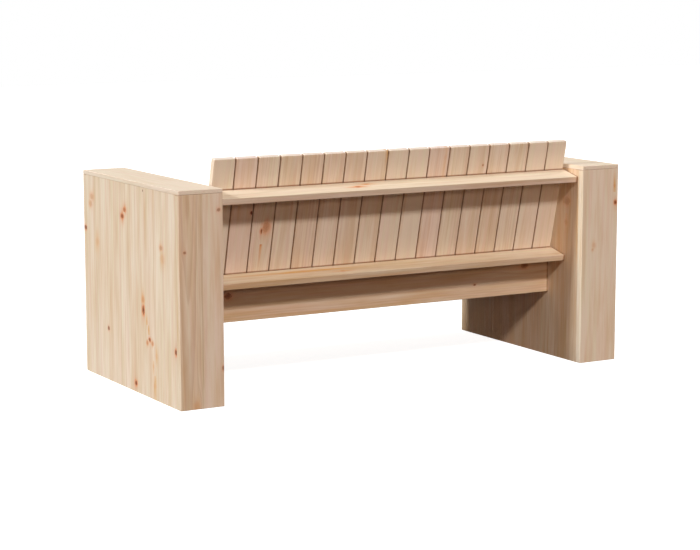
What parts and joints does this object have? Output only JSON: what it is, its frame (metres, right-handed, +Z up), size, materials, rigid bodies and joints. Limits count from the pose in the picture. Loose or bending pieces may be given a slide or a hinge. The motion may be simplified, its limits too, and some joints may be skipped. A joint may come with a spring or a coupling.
{
  "type": "garden sofa",
  "caption": "Pine garden sofa with hollow box arms, a leaning slatted back carried on edge-on rails, and a slatted seat held between the arms.",
  "frame": {"origin": "on the floor, under the middle of the sofa's outer box", "axes": "+Z up, +X along the width, the sitter faces -Y and the back is at +Y"},
  "size_m": [1.49, 0.666, 0.6864],
  "materials": {
    "arm_pine": "bare planed pine, edge-glued boards, unfinished",
    "rail_pine": "bare planed pine, unfinished",
    "slat_pine": "bare planed pine, unfinished",
    "screw_steel": "yellow zinc-plated wood screws"
  },
  "bodies": {
    "root": {"left_arm_outer_panel": "arm_pine", "left_arm_inner_panel": "arm_pine", "left_arm_front_board": "arm_pine", "left_arm_back_board": "arm_pine", "left_arm_cap": "arm_pine", "right_arm_outer_panel": "arm_pine", "right_arm_inner_panel": "arm_pine", "right_arm_front_board": "arm_pine", "right_arm_back_board": "arm_pine", "right_arm_cap": "arm_pine", "upper_back_rail": "rail_pine", "lower_back_rail": "rail_pine", "back_slat_01": "slat_pine", "back_slat_02": "slat_pine", "back_slat_03": "slat_pine", "back_slat_04": "slat_pine", "back_slat_05": "slat_pine", "back_slat_06": "slat_pine", "back_slat_07": "slat_pine", "back_slat_08": "slat_pine", "back_slat_09": "slat_pine", "back_slat_10": "slat_pine", "back_slat_11": "slat_pine", "back_slat_12": "slat_pine", "back_slat_13": "slat_pine", "back_slat_14": "slat_pine", "back_slat_15": "slat_pine", "back_slat_16": "slat_pine", "back_slat_17": "slat_pine", "front_apron": "rail_pine", "rear_apron": "rail_pine", "left_seat_ledger": "rail_pine", "right_seat_ledger": "rail_pine", "middle_seat_bearer": "rail_pine", "seat_slat_01": "slat_pine", "seat_slat_02": "slat_pine", "seat_slat_03": "slat_pine", "seat_slat_04": "slat_pine", "seat_slat_05": "slat_pine", "seat_slat_06": "slat_pine", "seat_slat_07": "slat_pine", "seat_slat_08": "slat_pine", "seat_slat_09": "slat_pine", "seat_slat_10": "slat_pine", "seat_slat_11": "slat_pine", "seat_slat_12": "slat_pine", "seat_slat_13": "slat_pine", "seat_slat_14": "slat_pine", "seat_slat_15": "slat_pine", "seat_slat_16": "slat_pine", "seat_slat_17": "slat_pine"}
  },
  "joints": []
}
